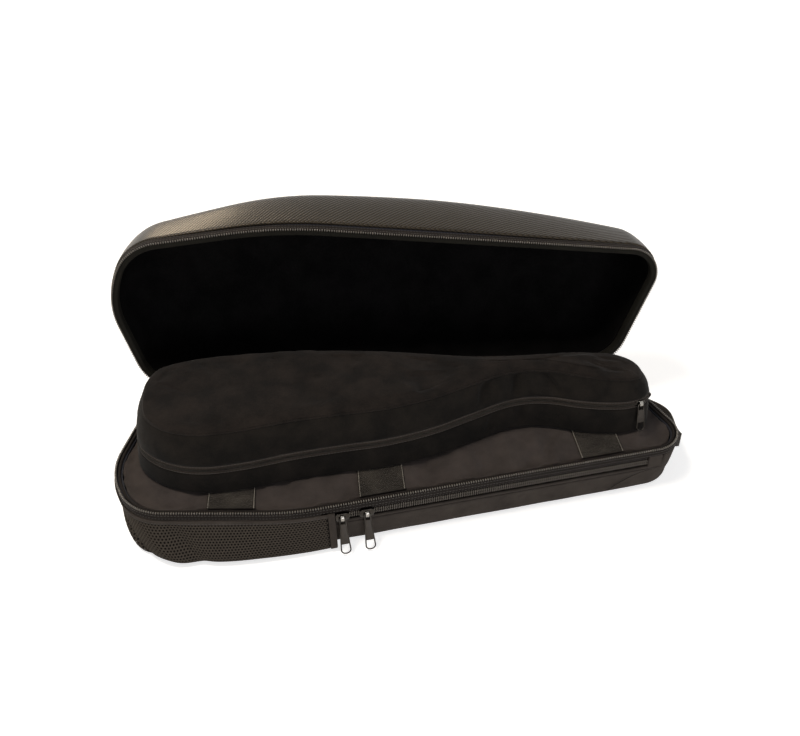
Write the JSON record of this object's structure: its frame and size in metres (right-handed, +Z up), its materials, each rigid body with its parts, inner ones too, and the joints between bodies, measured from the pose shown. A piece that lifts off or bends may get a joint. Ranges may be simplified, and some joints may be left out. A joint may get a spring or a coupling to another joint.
{
  "type": "violin case",
  "caption": "Zippered semi-hard violin case standing open, with a domed lid, a padded base with a mesh side pocket, and a removable violin-shaped pouch inside.",
  "frame": {"origin": "middle of the flat underside of the base", "axes": "+X along the lid hinge from the wide end to the narrow end, +Z up, -Y is the front"},
  "size_m": [0.7702, 0.4005, 0.3272],
  "materials": {
    "dark_fabric": "woven polyester, matt",
    "board": "plain stiffening board",
    "lining": "plain lining cloth",
    "main_teeth": "dull metal teeth",
    "hook_tape": "hook tape, coarse and matt",
    "zip_tape": "woven zip tape",
    "zip_coil": "moulded coil",
    "mesh": "knitted open mesh",
    "webbing": "woven webbing",
    "vinyl": "glossy coated cloth with a diagonal twill",
    "foam": "padding foam",
    "velvet": "deep black pile",
    "bright_metal": "plated, polished",
    "suede": "brushed suede cloth",
    "pouch_side": "dark smooth cloth"
  },
  "bodies": {
    "base": {"base_tray": "dark_fabric", "base_bottom_board": "board", "base_lining": "lining", "base_rim_band": "dark_fabric", "base_upper_wall": "dark_fabric", "base_side_facing": "dark_fabric", "base_zip_teeth": "main_teeth", "base_panel": "dark_fabric", "base_panel_piping": "dark_fabric", "hook_strip_left": "hook_tape", "hook_strip_middle": "hook_tape", "hook_strip_right": "hook_tape", "base_front_stay": "dark_fabric", "pocket_zip_tape": "zip_tape", "pocket_zip_chain": "zip_coil", "pocket_zip_welt": "zip_tape", "mesh_pocket": "mesh", "mesh_pocket_binding": "zip_tape", "hinge_strip_base": "dark_fabric", "end_handle_tab_front": "webbing", "end_handle_tab_back": "webbing", "end_handle_strap": "webbing"},
    "lid": {"lid_shell": "vinyl", "lid_foam": "foam", "lid_lining": "velvet", "lid_zip_teeth": "main_teeth", "lid_rim_band": "zip_tape", "lid_rim_binding": "dark_fabric", "hinge_strip_lid": "dark_fabric", "main_slider_left": "bright_metal", "main_slider_crown_left": "bright_metal", "main_slider_right": "bright_metal", "main_slider_crown_right": "bright_metal"},
    "main_pull_left": {"main_pull_left": "bright_metal"},
    "main_pull_right": {"main_pull_right": "bright_metal"},
    "front_slider_left": {"front_slider_left": "bright_metal", "front_slider_crown_left": "bright_metal"},
    "front_pull_left": {"front_pull_left": "bright_metal"},
    "front_slider_right": {"front_slider_right": "bright_metal", "front_slider_crown_right": "bright_metal"},
    "front_pull_right": {"front_pull_right": "bright_metal"},
    "pouch": {"pouch_bottom_pad": "pouch_side", "pouch_lower_gusset": "pouch_side", "pouch_flap_hinge": "pouch_side", "pouch_zip_tape_lower": "zip_tape", "pouch_zip_teeth_lower": "zip_coil", "pouch_loop": "webbing"},
    "pouch_flap": {"pouch_upper_gusset": "pouch_side", "pouch_top_panel": "suede", "pouch_zip_tape_upper": "zip_tape", "pouch_zip_teeth_upper": "zip_coil"},
    "pouch_slider": {"pouch_slider": "bright_metal", "pouch_slider_crown": "bright_metal"},
    "pouch_pull": {"pouch_pull": "bright_metal"}
  },
  "joints": [
    {"name": "lid_hinge", "type": "hinge", "parent": "base", "child": "lid", "pos_m": [0, 0.125, 0.07], "axis": [-1, 0, 0], "range_deg": [-94, 0]},
    {"name": "main_pull_left_swing", "type": "hinge", "parent": "lid", "child": "main_pull_left", "pos_m": [-0.34053, 0.13013, 0.08033], "axis": [0, 0.9976, -0.0698], "range_deg": [-35, 60]},
    {"name": "main_pull_right_swing", "type": "hinge", "parent": "lid", "child": "main_pull_right", "pos_m": [0.31823, 0.12955, 0.07205], "axis": [0, -0.9976, 0.0698], "range_deg": [-35, 60]},
    {"name": "front_slider_left_run", "type": "slide", "parent": "base", "child": "front_slider_left", "axis": [0.9909, 0.1349, 0], "range_m": [0, 0.012]},
    {"name": "front_pull_left_swing", "type": "hinge", "parent": "front_slider_left", "child": "front_pull_left", "pos_m": [-0.08796, -0.12401, 0.0468], "axis": [-0.9909, -0.1349, 0], "range_deg": [-7, 66]},
    {"name": "front_slider_right_run", "type": "slide", "parent": "base", "child": "front_slider_right", "axis": [0.9909, 0.1349, 0], "range_m": [0, 0.375]},
    {"name": "front_pull_right_swing", "type": "hinge", "parent": "front_slider_right", "child": "front_pull_right", "pos_m": [-0.05626, -0.11969, 0.0468], "axis": [-0.9909, -0.1349, 0], "range_deg": [-7, 66]},
    {"name": "pouch_lift", "type": "slide", "parent": "base", "child": "pouch", "axis": [0, -0.5, 0.866], "range_m": [0, 0.15]},
    {"name": "pouch_flap_hinge", "type": "hinge", "parent": "pouch", "child": "pouch_flap", "pos_m": [0, 0.1105, 0.1078], "axis": [-1, 0, 0], "range_deg": [0, 80]},
    {"name": "pouch_slider_run", "type": "slide", "parent": "pouch", "child": "pouch_slider", "axis": [-0.9773, -0.212, 0], "range_m": [0, 0.02]},
    {"name": "pouch_pull_swing", "type": "hinge", "parent": "pouch_slider", "child": "pouch_pull", "pos_m": [0.31959, -0.02148, 0.1144], "axis": [-0.9773, -0.212, 0], "range_deg": [-10, 70]}
  ]
}
